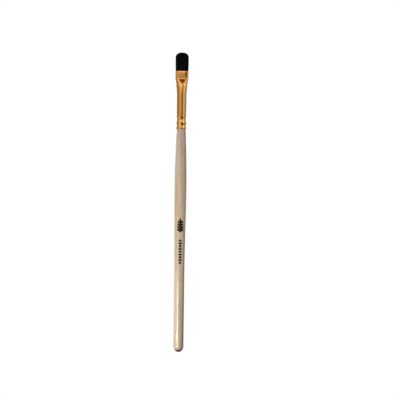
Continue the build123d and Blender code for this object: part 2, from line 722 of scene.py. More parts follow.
@dataclass(frozen=True)
class DarkHair:
    """Soft black hair with a slight tone of its own in each hair.

    Attributes:
        deep: colour of the darkest hairs.
        light: colour of the lightest hairs.
        roughness: least and most roughness.
    """

    deep: Colour = (0.0022, 0.0022, 0.0023, 1.0)
    light: Colour = (0.0085, 0.008, 0.008, 1.0)
    roughness: Pair = (0.44, 0.60)

    def make(self, effects: Effects) -> Material:
        """Builds the material.

        Args:
            effects: the shared node groups.

        Returns:
            The material.
        """
        hair = Surface.start("black_hair", effects)
        tone = hair.add("Attribute", attribute_name="hair_tone").outputs["Fac"]
        mask = hair.lines(0.05, 3.0)["Mask"]
        share = hair.maths("MULTIPLY", tone, hair.band(mask, 0.0, 1.0, 0.6, 1.0))
        return hair.finish({
            "Base Color": hair.mixed(share, self.deep, self.light),
            "Roughness": hair.band(mask, 0.0, 1.0, *self.roughness),
            "Specular IOR Level": 0.10,
        })


@dataclass(frozen=True)
class PlainFinish:
    """A finish of one colour with fine lines and soft patches, for ink, thread, resin and glue.

    Attributes:
        name: the material's name.
        main: its colour.
        other: the colour that it drifts to in patches.
        roughness: least and most roughness.
        line_size: width and length of the fine lines, in millimetres.
        patch_size: size of the patches, in millimetres.
        line_depth: depth of the fine lines' relief, in millimetres.
        gloss: strength of its surface reflection.
    """

    name: str
    main: Colour
    other: Colour
    roughness: Pair
    line_size: Pair
    patch_size: float
    line_depth: float
    gloss: float = 0.5

    def make(self, effects: Effects) -> Material:
        """Builds the material.

        Args:
            effects: the shared node groups.

        Returns:
            The material.
        """
        surface = Surface.start(self.name, effects)
        lines = surface.lines(*self.line_size)
        return surface.finish({
            "Base Color": surface.mixed(surface.haze(self.patch_size), self.main, self.other),
            "Roughness": surface.band(lines["Mask"], 0.0, 1.0, *self.roughness),
            "Normal": surface.relief(lines["Height"], 0.3, self.line_depth),
            "Specular IOR Level": self.gloss,
        })


PRINTING_INK = PlainFinish(
    "printing_ink", main=(0.012, 0.006, 0.002, 1.0), other=(0.034, 0.018, 0.006, 1.0),
    roughness=(0.45, 0.65), line_size=(0.12, 0.6), patch_size=0.5, line_depth=0.004, gloss=0.15,
)
WAXED_THREAD = PlainFinish(
    "waxed_thread", main=(0.52, 0.47, 0.38, 1.0), other=(0.40, 0.34, 0.25, 1.0),
    roughness=(0.5, 0.8), line_size=(0.03, 0.06), patch_size=0.6, line_depth=0.02,
)
AMBER_RESIN = PlainFinish(
    "amber_resin", main=(0.26, 0.12, 0.025, 1.0), other=(0.34, 0.17, 0.04, 1.0),
    roughness=(0.08, 0.25), line_size=(0.5, 0.8), patch_size=1.2, line_depth=0.005,
)
SET_GLUE = PlainFinish(
    "set_glue", main=(0.60, 0.48, 0.21, 1.0), other=(0.50, 0.37, 0.14, 1.0),
    roughness=(0.2, 0.45), line_size=(0.3, 0.9), patch_size=1.0, line_depth=0.01,
)


# The brush


@dataclass(frozen=True)
class Places:
    """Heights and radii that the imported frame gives, in millimetres.

    Attributes:
        shank_bottom: lower end of the straight shank.
        shank_top: upper end of the straight shank.
        shank_radius: the shank's radius.
        belly_radius: the handle's greatest radius.
        tenon_top: upper end of the handle, inside the ferrule.
        ferrule_end: lower end of the ferrule.
        mouth: upper end of the ferrule.
        root_bottom: lower end of the bound hair root.
        tip: the brush's highest point.
        tuft_half_width: half the tuft's width.
        tuft_half_depth: half the tuft's depth.
    """

    shank_bottom: float
    shank_top: float
    shank_radius: float
    belly_radius: float
    tenon_top: float
    ferrule_end: float
    mouth: float
    root_bottom: float
    tip: float
    tuft_half_width: float
    tuft_half_depth: float

    @classmethod
    def read(cls) -> "Places":
        """Reads them from the frame's boxes and from its shank mount.

        Returns:
            The heights and radii.
        """
        pin = frame["record"]["mounts"][0]
        middle, half = pin["pos_m"][2] * PER_METRE, pin["dims"]["length_mm"] / 2
        handle, ferrule, tuft = (
            [corner * PER_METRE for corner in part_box(name)] for name in ("handle", "ferrule", "hair_tuft")
        )
        return cls(
            shank_bottom=middle - half,
            shank_top=middle + half,
            shank_radius=pin["dims"]["r_mm"],
            belly_radius=handle[1].x,
            tenon_top=handle[1].z,
            ferrule_end=ferrule[0].z,
            mouth=ferrule[1].z,
            root_bottom=tuft[0].z,
            tip=tuft[1].z,
            tuft_half_width=tuft[1].x,
            tuft_half_depth=tuft[1].y,
        )


@dataclass
class FerruleTube:
    """Thin metal tube: two rolled crimps, a round barrel, and a mouth pressed flat.

    The tube is pressed from the shoulder up. A flat three-sided facet opens from a point at the
    shoulder to the crease, and the flat panel runs from the crease to the mouth.

    Attributes:
        places: the heights from the frame.
        tail_radius: outer radius over the crimps.
        barrel_radius: outer radius at the top of the barrel.
        wall: thickness of the metal.
        mouth_depth: depth of the tube at the mouth.
        crease_depth: depth of the tube at the crease.
        panel_height: distance from the crease to the mouth.
        facet_height: distance from the shoulder to the crease.
        neck_height: distance from the top of the barrel to the shoulder.
        shoulder_spread: how much wider and shallower the shoulder is than the barrel.
        apex_angle: half the angle of the facet's point, in degrees.
        crown: how far the middle of the panel stands proud.
        crown_power: how square the panel's crown is across.
        crown_rise: share of the panel's height over which the crown grows.
        rim_fall: how far the panel's upper rim leans in.
        rim_height: height of that leaning rim.
        crimps: height above the lower end and step from the tail radius, along the rolled end.
        fold_blur: how widely every pressed fold is rounded, in points.
        ridge_blur: how widely the facet's ridges are rounded on top of that, in points.
        ridge_start: distances below the shoulder between which the ridges' rounding sets in.
        ridge_end: distances below the crease between which it stops.
        front_points: points across each flat side of a ring.
        side_points: points round each rounded side of a ring.
        fine_step: distance between rings in the crimps and the pressed zones.
        inner_step: distance between rings inside.
        barrel_rings: how many rings the barrel has.
        edge_rings: how many rings each rounded edge has.
    """

    places: Places
    tail_radius: float = 2.64
    barrel_radius: float = 2.73
    wall: float = 0.25
    mouth_depth: float = 2.0
    crease_depth: float = 2.25
    panel_height: float = 4.5
    facet_height: float = 2.6
    neck_height: float = 7.3
    shoulder_spread: float = 0.61
    apex_angle: float = 4.0
    crown: float = 0.16
    crown_power: int = 8
    crown_rise: float = 0.7
    rim_fall: float = 0.07
    rim_height: float = 0.75
    crimps: tuple = ((0.0, 0.14), (0.7, 0.165), (2.1, -0.125), (3.5, 0.145), (5.6, -0.235), (7.2, 0.0))
    fold_blur: float = 1.6
    ridge_blur: float = 4.0
    ridge_start: Pair = (1.4, 0.2)
    ridge_end: Pair = (0.7, 0.05)
    front_points: int = 44
    side_points: int = 52
    fine_step: float = 0.1
    inner_step: float = 0.6
    barrel_rings: int = 12
    edge_rings: int = 9

    @property
    def crease(self) -> float:
        """Height of the crease under the panel."""
        return self.places.mouth - self.panel_height

    @property
    def shoulder(self) -> float:
        """Height of the facet's lower point."""
        return self.crease - self.facet_height

    @property
    def neck_bottom(self) -> float:
        """Height of the barrel's upper end."""
        return self.shoulder - self.neck_height

    def pressed_half_width(self, depth: float) -> float:
        """Half the width that the round tube spreads to when it is pressed to a depth."""
        return (2 * math.pi * self.barrel_radius - (math.pi - 2) * depth) / 4

    def radius_at(self, height: float) -> float:
        """Outer radius of the round part of the tube.

        Args:
            height: a height from the ferrule's lower end to the neck.

        Returns:
            The radius there.
        """
        above = height - self.places.ferrule_end
        for (low, low_step), (high, high_step) in zip(self.crimps, self.crimps[1:]):
            if above < high:
                step = low_step + (high_step - low_step) * smooth_share(above, low, high)
                return self.tail_radius + step
        start = self.places.ferrule_end + self.crimps[-1][0]
        share = min(1.0, (height - start) / (self.neck_bottom - start))
        return self.tail_radius + (self.barrel_radius - self.tail_radius) * share

    def oval(self, half_width: float, half_depth: float) -> np.ndarray:
        """Draws an oval ring whose four stretches match those of a pressed ring.

        Args:
            half_width: half its width.
            half_depth: half its depth.

        Returns:
            Its points, across and deep.
        """
        apex = math.radians(self.apex_angle)
        front, back = 1.5 * math.pi, 0.5 * math.pi
        stretches = (
            (front - apex, front + apex, self.front_points),
            (front + apex, back + 2 * math.pi - apex, self.side_points),
            (back - apex, back + apex, self.front_points),
            (back + apex, front - apex, self.side_points),
        )
        angles = np.concatenate([np.linspace(*stretch, endpoint=False) for stretch in stretches])
        return np.stack([half_width * np.cos(angles), half_depth * np.sin(angles)], axis=1)

    def pressed(self, depth: float, inset: float, crown: float) -> np.ndarray:
        """Draws a ring pressed flat front and back, with round ends.

        Args:
            depth: outer depth of the ring.
            inset: how much smaller it is all round.
            crown: how far the middle of each flat side stands proud.

        Returns:
            Its points, across and deep.
        """
        flat, end = self.pressed_half_width(depth) - depth / 2, depth / 2 - inset
        share = np.linspace(-1.0, 1.0, self.front_points, endpoint=False)
        front = np.stack([share * flat, -end - crown * (1 - share ** self.crown_power)], axis=1)
        angles = np.linspace(-0.5 * math.pi, 0.5 * math.pi, self.side_points, endpoint=False)
        side = np.stack([flat + end * np.cos(angles), end * np.sin(angles)], axis=1)
        return np.concatenate([front, side, -front, -side])

    def ring(self, height: float, inset: float = 0.0) -> np.ndarray:
        """Draws the tube's section at a height.

        Args:
            height: the height.
            inset: how much smaller the section is all round.

        Returns:
            The ring's points, three numbers each.
        """
        if height <= self.neck_bottom:
            radius = self.radius_at(height) - inset
            flat = self.oval(radius, radius)
        elif height <= self.crease:
            share = min(1.0, (height - self.neck_bottom) / self.neck_height)
            spread = self.shoulder_spread * share ** 2
            flat = self.oval(self.barrel_radius + spread - inset, self.barrel_radius - spread - inset)
            if height > self.shoulder:
                share = (height - self.shoulder) / self.facet_height
                flat = flat * (1 - share) + self.pressed(self.crease_depth, inset, 0.0) * share
        else:
            share = (height - self.crease) / self.panel_height
            depth = self.crease_depth + (self.mouth_depth - self.crease_depth) * share
            depth -= 2 * self.rim_fall * max(0.0, 1 - (self.places.mouth - height) / self.rim_height) ** 2
            flat = self.pressed(depth, inset, self.crown * smooth_share(share, 0.0, self.crown_rise))
        return level(*flat.T, height)

    def ridge_share(self, height: float) -> float:
        """Says how much of the ridges' own rounding there is at a height.

        Args:
            height: the height.

        Returns:
            The share, from 0 to 1.
        """
        (start, full), (fade, end) = self.ridge_start, self.ridge_end
        opening = smooth_share(height, self.shoulder - start, self.shoulder - full)
        return opening * (1 - smooth_share(height, self.crease - fade, self.crease - end))

    def turn_in(self, height: float, up: float) -> list[np.ndarray]:
        """Rounds the tube's edge over from its outer face to its inner one, or back.

        Args:
            height: height of the edge.
            up: 1 at the mouth, -1 at the lower end.

        Returns:
            The rings over the edge.
        """
        rings = []
        half = self.wall / 2
        for turn in np.linspace(0.0, math.pi, self.edge_rings):
            inset = half - half * math.cos(turn) * up
            ring = self.ring(height - up * half, inset)
            ring[:, 2] += up * half * math.sin(turn)
            rings.append(ring)
        return rings

    def build(self, finish: Material) -> Piece:
        """Builds the tube as one closed mesh.

        Args:
            finish: its material.

        Returns:
            The piece.
        """
        lower_end, mouth, step = self.places.ferrule_end, self.places.mouth, self.fine_step
        bottom, top = lower_end + self.wall / 2, mouth - self.wall / 2
        crimp_top = lower_end + self.crimps[-1][0]
        outside = [self.ring(height) for height in np.arange(bottom + step, crimp_top, step)]
        barrel_top = self.neck_bottom - 1.0
        outside += [self.ring(height) for height in np.linspace(crimp_top, barrel_top, self.barrel_rings)]
        heights = np.arange(barrel_top + step, top, step)
        pressed = np.array([self.ring(height) for height in heights])
        pressed = soften(pressed, self.fold_blur, self.fold_blur)
        share = np.array([self.ridge_share(height) for height in heights])[:, None, None]
        pressed = pressed * (1 - share) + soften(pressed, self.ridge_blur, self.ridge_blur * 1.5) * share
        inside = [self.ring(height, self.wall) for height in np.arange(top - 0.3, bottom, -self.inner_step)]
        rings = [*outside, *pressed, *self.turn_in(mouth, 1.0), *inside, *self.turn_in(lower_end, -1.0)]
        faces = ring_faces(len(rings), len(rings[0]), closed=True)
        return add_piece("ferrule_tube", np.vstack(rings), faces, finish, "ferrule")


@dataclass
class TurnedHandle:
    """Turned wooden handle: domed butt, straight shank, belly, neck, and a tenon in the ferrule.

    Attributes:
        places: the heights and radii from the frame.
        ferrule: the tube that holds the tenon.
        belly_height: height of the greatest radius.
        butt_bow: how full the butt's dome is, as a share of the radius.
        neck_slope: change of radius with height where the handle enters the ferrule.
        tenon_gap: distance from the tube's outer face to the tenon.
        chamfer: of the tenon's end.
        dome_rings: rings over the butt's dome.
        shank_rings: rings along the shank.
        belly_rings: rings from the shank to the belly.
        neck_rings: rings from the belly to the ferrule.
        tenon_step: distance between rings along the tenon.
        points: points in each ring.
    """

    places: Places
    ferrule: FerruleTube
    belly_height: float = 93.0
    butt_bow: float = 0.55
    neck_slope: float = -0.05
    tenon_gap: float = 0.305
    chamfer: float = 0.4
    dome_rings: int = 24
    shank_rings: int = 20
    belly_rings: int = 36
    neck_rings: int = 30
    tenon_step: float = 0.2
    points: int = 128

    def tenon_radius(self, height: float) -> float:
        """Radius of the tenon at a height."""
        return self.ferrule.radius_at(height) - self.tenon_gap

    def outline(self) -> list[Pair]:
        """Draws the handle's (radius, height) outline from the butt to the tenon's end.

        Returns:
            The outline's points.
        """
        places = self.places
        radius, dome = places.shank_radius, places.shank_bottom
        points = []
        for share in np.linspace(0.0, 1.0, self.dome_rings + 1):
            first, second, last = 3 * (1 - share) ** 2 * share, 3 * (1 - share) * share ** 2, share ** 3
            across = (first * self.butt_bow + second + last) * radius
            points.append((across, (second * (1 - self.butt_bow) + last) * dome))
        shank, belly = (radius, places.shank_top), (places.belly_radius, self.belly_height)
        neck = (self.tenon_radius(places.ferrule_end), places.ferrule_end)
        stretches = (
            ((radius, dome), shank, (0.0, 0.0), self.shank_rings),
            (shank, belly, (0.0, 0.0), self.belly_rings),
            (belly, neck, (0.0, self.neck_slope), self.neck_rings),
        )
        for stretch in stretches:
            points += hermite(*stretch)
        top, end = places.tenon_top, self.tenon_radius(places.tenon_top)
        for height in np.arange(places.ferrule_end + self.tenon_step, top - self.chamfer, self.tenon_step):
            points.append((self.tenon_radius(height), height))
        return points + [(end, top - self.chamfer), (end - self.chamfer, top), (0.0, top)]

    def radius_at(self, height: float) -> float:
        """Reads the handle's radius at a height."""
        radii, heights = zip(*self.outline()[:-1])
        return float(np.interp(height, heights, radii))

    def build(self, finish: Material) -> Piece:
        """Builds the handle as one closed mesh.

        Args:
            finish: its material.

        Returns:
            The piece.
        """
        outline = self.outline()
        angles = np.linspace(0.0, 2.0 * math.pi, self.points, endpoint=False)
        east, north = np.cos(angles), np.sin(angles)
        rings = [level(radius * east, radius * north, height) for radius, height in outline[1:-1]]
        corners, faces = capped(rings, [0.0, 0.0, outline[0][1]], [0.0, 0.0, outline[-1][1]])
        return add_piece("turned_handle", corners, faces, finish, "handle")


@dataclass
class PrintedMarks:
    """Plain ornaments printed along the front of the handle: a sprig, and a row of small shapes.

    Attributes:
        handle: the handle that they lie on.
        film: how far the ink stands above the wood.
        shift: how far the marks sit to the right of the middle of the front.
        sprig_bottom: height of the sprig's lower end.
        sprig_height: its length along the handle.
        leaf_pairs: how many pairs of leaves it has.
        leaf_angle: how far the leaves point up, in degrees.
        leaf_size: width and length of the lowest leaves.
        stem_width: width of its stem.
        bud_width: width of the leaf at its end.
        row_bottom: height of the lower end of the row.
        row_height: its length along the handle.
        row_width: its width across the handle.
        row_shapes: the shapes in it, from the bottom up.
        grid: rings along each stroke of ink, and points across it.
        least_half_width: half width of a stroke at its pointed ends.
    """

    handle: TurnedHandle
    film: float = 0.02
    shift: float = 0.3
    sprig_bottom: float = 67.8
    sprig_height: float = 8.2
    leaf_pairs: int = 4
    leaf_angle: float = 32.0
    leaf_size: Pair = (1.45, 2.436)
    stem_width: float = 1.0
    bud_width: float = 1.3
    row_bottom: float = 49.9
    row_height: float = 14.2
    row_width: float = 2.1
    row_shapes: tuple[InkShape, ...] = (
        InkShape.LOZENGE, *(InkShape.BAR, InkShape.DOT, InkShape.BAR, InkShape.LOZENGE) * 2,
    )
    grid: tuple[int, int] = (13, 7)
    least_half_width: float = 0.012

    @staticmethod
    def half_width(shape: InkShape, share: np.ndarray) -> np.ndarray:
        """Gives a stroke's half width along it, as a share of the greatest.

        Args:
            shape: its outline.
            share: places along the stroke, from 0 to 1.

        Returns:
            The half widths there.
        """
        middle = np.abs(2 * share - 1)
        if shape is InkShape.LOZENGE:
            return 1 - middle
        if shape is InkShape.DOT:
            return np.sqrt(np.maximum(0.0, 1 - middle ** 2))
        if shape is InkShape.LEAF:
            return np.maximum(0.0, 1 - middle ** 2) ** 0.8 * (0.75 + 0.25 * (1 - share))
        return np.minimum(1.0, (1 - middle) * 8) ** 0.5

    def stroke(self, shape: InkShape, start: Pair, angle: float, length: float, width: float) -> Form:
        """Makes one stroke of ink as a thin closed film on the wood.

        Args:
            shape: its outline.
            start: where it starts, across and up, in millimetres.
            angle: its direction in degrees, 0 to the right and 90 up.
            length: its length.
            width: its greatest width.

        Returns:
            The corners and the faces of the film.
        """
        rows, columns = self.grid
        share = np.linspace(0.0, 1.0, rows)
        half = np.maximum(self.half_width(shape, share) * width / 2, self.least_half_width)
        along = np.array([math.cos(math.radians(angle)), math.sin(math.radians(angle))])
        beside = np.array([-along[1], along[0]])
        spread = np.linspace(-1.0, 1.0, columns)
        flat = start + (share * length)[:, None, None] * along + (half[:, None] * spread)[:, :, None] * beside
        heights = flat[:, :, 1]
        radii = np.vectorize(self.handle.radius_at)(heights)
        turn = flat[:, :, 0] / radii - math.pi / 2
        over, under = (
            np.stack([radius * np.cos(turn), radius * np.sin(turn), heights], axis=2)
            for radius in (radii + self.film, radii - self.film)
        )
        count = 2 * columns
        faces = ring_faces(rows, count)
        for place in range(columns - 1):
            strip = [place, count - 1 - place, count - 2 - place, place + 1]
            faces.append(strip)
            faces.append([(rows - 1) * count + index for index in reversed(strip)])
        corners = np.concatenate([under, over[:, ::-1]], axis=1).reshape(-1, 3)
        return corners, faces

    @staticmethod
    def join(name: str, strokes: list[Form], finish: Material) -> Piece:
        """Joins strokes into one piece.

        Args:
            name: the piece's name.
            strokes: corners and faces of each stroke.
            finish: the ink.

        Returns:
            The piece.
        """
        corners, faces, start = [], [], 0
        for points, quads in strokes:
            corners.append(points)
            faces += [[start + index for index in quad] for quad in quads]
            start += len(points)
        return add_piece(name, np.vstack(corners), faces, finish)

    def sprig(self) -> list[Form]:
        """Draws a sprig of paired leaves on a stem.

        Returns:
            Its strokes.
        """
        def rise(share: float) -> Pair:
            """Gives the point on the stem at a share of the sprig's height."""
            return self.shift, self.sprig_bottom + self.sprig_height * share

        width, length = self.leaf_size
        strokes = [self.stroke(InkShape.BAR, rise(0.0), 90.0, self.sprig_height * 0.8, self.stem_width)]
        for index in range(self.leaf_pairs):
            for angle in (self.leaf_angle, 180.0 - self.leaf_angle):
                shorter = length * (1.0 - 0.05 * index)
                strokes.append(self.stroke(InkShape.LEAF, rise(0.1 + 0.19 * index), angle, shorter, width))
        strokes.append(self.stroke(InkShape.LEAF, rise(0.76), 90.0, self.sprig_height * 0.24, self.bud_width))
        return strokes

    def row(self) -> list[Form]:
        """Draws a row of small bars, dots and lozenges.

        Returns:
            Its strokes.
        """
        pitch = self.row_height / len(self.row_shapes)
        strokes = []
        for index, shape in enumerate(self.row_shapes):
            height = self.row_bottom + pitch * (index + 0.5)
            width = self.row_width * (0.7 if shape is InkShape.DOT else 1.0)
            thickness = 1.0 if shape is InkShape.BAR else 1.6
            strokes.append(self.stroke(shape, (self.shift - width / 2, height), 0.0, width, thickness))
        return strokes

    def build(self, finish: Material) -> None:
        """Builds the two ornaments with the given ink."""
        self.join("printed_sprig", self.sprig(), finish)
        self.join("printed_row", self.row(), finish)


@dataclass
class HairTuft:
    """The tuft: separate tapered hairs above the mouth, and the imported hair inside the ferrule.

    Attributes:
        places: the heights and sizes from the frame.
        ferrule: the tube that holds the hair.
        hairs: how many hairs are made.
        sides: sides of each hair.
        joints: rings along each hair.
        depth_in_mouth: how far the separate hairs reach down into the mouth.
        gap: distance between the hair and the metal.
        margin: how far inside the tuft's outline the hairs are laid, across and deep.
        limit: how near to that outline a wandering hair may come, across and deep.
        dome_height: height of the rounded end of the tuft.
        dome_power: how square the rounded end is; 2 is an ellipse.
        side_drop: how much lower the end is over the front and back than over the middle.
        mouth_width_share: half width at the mouth as a share of the greatest half width.
        section_power: how square the tuft's section is at the mouth, and where its end starts.
        scatter: spread of the hairs' places round the tuft, in radians, and of their tips' heights.
        gather: how far the tips draw together from front to back.
        drift: how far a hair's tip strays.
        ripple: how far a hair waves.
        thickness: radius of a hair at its root, what its belly adds, and what its tip loses.
        root_radius: radius of the bound root.
        root_height: height of the bound root.
        root_gap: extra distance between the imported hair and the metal.
        root_step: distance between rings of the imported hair.
        root_points: points in each of those rings.
        seed: of the random draws.
    """

    places: Places
    ferrule: FerruleTube
    hairs: int = 2000
    sides: int = 5
    joints: int = 10
    depth_in_mouth: float = 1.6
    gap: float = 0.04
    margin: Pair = (0.045, 0.05)
    limit: Pair = (0.056, 0.05)
    dome_height: float = 4.4
    dome_power: float = 3.3
    side_drop: float = 0.6
    mouth_width_share: float = 0.925
    section_power: Pair = (3.8, 2.7)
    scatter: Pair = (0.03, 0.03)
    gather: float = 0.16
    drift: float = 0.035
    ripple: float = 0.012
    thickness: Triple = (0.040, 0.018, 0.020)
    root_radius: float = 1.9
    root_height: float = 3.0
    root_gap: float = 0.05
    root_step: float = 0.25
    root_points: int = 160
    seed: int = 7

    def envelope(self, height: np.ndarray) -> tuple[np.ndarray, np.ndarray, np.ndarray]:
        """Gives the size of the bundle at a height, before its end is rounded.

        Args:
            height: heights, in millimetres.

        Returns:
            The half widths, the half depths, and how square the section is.
        """
        above = np.clip((height - self.places.mouth) / (self.dome_base - self.places.mouth), 0.0, 1.0)
        bloom = np.sin(above * math.pi / 2)
        widest = self.places.tuft_half_width
        half_width = widest * (self.mouth_width_share + (1 - self.mouth_width_share) * bloom ** 0.5)
        mouth_depth = self.ferrule.mouth_depth / 2 - self.ferrule.wall - self.gap
        half_depth = mouth_depth + (self.places.tuft_half_depth - mouth_depth) * bloom
        low, high = self.section_power
        return half_width, half_depth, low + (high - low) * above

    @property
    def dome_base(self) -> float:
        """Height where the tuft's end starts to round."""
        return self.places.tip - self.dome_height

    def lay(self) -> tuple[np.ndarray, np.ndarray, np.ndarray]:
        """Lays out the centre lines of the hairs.

        Returns:
            Points by hair and joint, radii by hair and joint, and a tone for each hair.
        """
        draw = np.random.default_rng(self.seed)
        number = np.arange(self.hairs)
        reach = np.sqrt((number + 0.5) / self.hairs)
        angle = number * GOLDEN_ANGLE + draw.normal(0.0, self.scatter[0], self.hairs)
        across, deep = reach * np.cos(angle), reach * np.sin(angle)
        base = self.places.mouth - self.depth_in_mouth
        tip = self.dome_base + self.dome_height * (1 - across ** 2) ** (1 / self.dome_power)
        tip -= self.side_drop * deep ** 2
        tip -= np.abs(draw.normal(0.0, self.scatter[1], self.hairs)) + 0.005
        along = np.linspace(0.0, 1.0, self.joints)[None, :]
        height = base + (tip - base)[:, None] * along ** 0.9
        *halves, power = self.envelope(height)
        square = squareness(angle[:, None], power)
        drift = draw.normal(0.0, 1.0, (self.hairs, 1, 2)) * self.drift * along[:, :, None] ** 1.5
        wave = draw.uniform(0.0, 2 * math.pi, (self.hairs, 1, 2)) + 5.0 * along[:, :, None]
        stray = drift + self.ripple * np.sin(wave) * along[:, :, None]
        sides = []
        for axis, (place, gathered) in enumerate(((across, 1.0), (deep, 1 - self.gather * along ** 4))):
            laid = place[:, None] * square * (halves[axis] - self.margin[axis]) * gathered + stray[:, :, axis]
            room = halves[axis] - self.limit[axis]
            sides.append(np.clip(laid, -room, room))
        root, belly, tip_loss = self.thickness
        taper = root + belly * np.sin(math.pi * np.clip(along * 1.1, 0.0, 1.0)) - tip_loss * along ** 5
        radii = taper * draw.uniform(0.85, 1.15, (self.hairs, 1))
        return np.stack([*sides, height], axis=2), radii, draw.beta(1.6, 3.0, self.hairs)

    def build_hairs(self, finish: Material) -> Piece:
        """Builds the separate hairs as one piece.

        Args:
            finish: the hair's material.

        Returns:
            The piece.
        """
        points, radii, tones = self.lay()
        turns = np.arange(self.sides) * 2 * math.pi / self.sides
        circle = np.stack([np.cos(turns), np.sin(turns), np.zeros(self.sides)], axis=1)
        corners = points[:, :, None, :] + radii[:, :, None, None] * circle[None, None, :, :]
        one = ring_faces(self.joints, self.sides)
        one.append(list(range(self.sides - 1, -1, -1)))
        one.append([(self.joints - 1) * self.sides + side for side in range(self.sides)])
        size = self.joints * self.sides
        faces = [[hair * size + index for index in face] for hair in range(self.hairs) for face in one]
        piece = add_piece("tuft_hairs", corners.reshape(-1, 3), faces, finish, "hair_tuft")
        tone = piece.data.attributes.new("hair_tone", "FLOAT", "POINT")
        tone.data.foreach_set("value", np.repeat(tones, size).astype(np.float32))
        return piece

    def build_root(self, finish: Material) -> Piece:
        """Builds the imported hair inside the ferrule, from its bound root to just under the mouth.

        Args:
            finish: the hair's material.

        Returns:
            The piece.
        """
        angles = np.linspace(0.0, 2 * math.pi, self.root_points, endpoint=False)
        fluting = 0.975 + 0.015 * np.sin(angles * 34) + 0.01 * np.sin(angles * 53)
        tube, bottom, end = self.ferrule, self.places.root_bottom, self.places.mouth - 0.3
        inset = tube.wall + self.gap + self.root_gap
        rings = []
        for height in np.arange(bottom, end, self.root_step):
            spread = smooth_share(height, bottom + self.root_height, tube.crease)
            pressing = smooth_share(height, tube.crease, end)
            depth = tube.crease_depth + (tube.mouth_depth - tube.crease_depth) * pressing
            across, deep = (
                self.root_radius + (half - inset - self.root_radius) * spread
                for half in (tube.pressed_half_width(depth), depth / 2)
            )
            reach = squareness(angles, 2.0 + 1.8 * spread) * fluting
            rings.append(level(across * reach * np.cos(angles), deep * reach * np.sin(angles), height))
        corners, faces = capped(rings, [0.0, 0.0, bottom], [0.0, 0.0, rings[-1][0][2] + 0.1])
        return add_piece("packed_hair_root", corners, faces, finish, "hair_tuft")

    def build(self, finish: Material) -> None:
        """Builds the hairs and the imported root."""
        self.build_hairs(finish)
        self.build_root(finish)


@dataclass(frozen=True)
class HiddenFillings:
    """Thread, resin and glue inside the ferrule, whose CAD shapes stay as they are."""

    def dress(self, effects: Effects) -> None:
        """Gives each one its material.

        Args:
            effects: the shared node groups.
        """
        finishes = {"binding_thread": WAXED_THREAD, "resin_plug": AMBER_RESIN, "handle_glue": SET_GLUE}
        for name, finish in finishes.items():
            mesh = frame["nodes"][name].data
            mesh.materials.clear()
            mesh.materials.append(finish.make(effects))
            LOG.info("%s keeps its CAD shape", name)


# Studio


@dataclass(frozen=True)
class Glow:
    """A soft patch of light or dark in the surroundings.

    Attributes:
        place: its azimuth and elevation, in degrees.
        spread: its spread in azimuth and in elevation, in degrees.
        tint: its colour and brightness.
        blend: ADD for more light, or MIX for a patch that hides the rest.
    """

    place: Pair
    spread: Pair
    tint: Tint
    blend: str = "ADD"

    def mask(self, sketch: Sketch, turn: NodeSocket, rise: NodeSocket) -> NodeSocket:
        """Draws the patch.

        Args:
            sketch: the tree to draw in.
            turn: azimuth in radians.
            rise: elevation in radians.

        Returns:
            A mask that falls off softly from the patch's middle.
        """
        squares = []
        for angle, middle, spread in zip((turn, rise), self.place, self.spread):
            offset = sketch.maths("SUBTRACT", angle, math.radians(middle))
            share = sketch.maths("DIVIDE", offset, math.radians(spread))
            squares.append(sketch.maths("MULTIPLY", share, share))
        return sketch.maths("POWER", 1 / math.e, sketch.maths("ADD", *squares))


@dataclass(frozen=True)
class Lamp:
    """A flat rectangular light that shines level at the brush axis.

    Attributes:
        name: the light's name.
        azimuth: its direction, in degrees, 0 in front and 90 to the right.
        distance: its distance from the axis, in metres.
        size: its width and height, in metres.
        top: height of its upper edge, in metres.
        brightness: how bright its face is.
        colour: its colour.
        mirrored: True where shiny surfaces show it.
    """

    name: str
    azimuth: float
    distance: float
    size: Pair
    top: float
    brightness: float
    colour: Tint
    mirrored: bool

    def hang(self) -> None:
        """Hangs the light."""
        width, height = self.size
        place = round_axis(self.azimuth, self.distance, self.top - height / 2)
        data = bpy.data.lights.new(self.name, "AREA")
        data.shape = "RECTANGLE"
        data.size, data.size_y = width, height
        data.color = self.colour
        data.energy = self.brightness * math.pi * width * height
        light = bpy.data.objects.new(self.name, data)
        facing = Vector((place.x, place.y, 0.0)).to_track_quat("Z", "Y")
        light.matrix_world = Matrix.Translation(place) @ facing.to_matrix().to_4x4()
        light.visible_camera = False
        light.visible_glossy = self.mirrored
        bpy.context.scene.collection.objects.link(light)


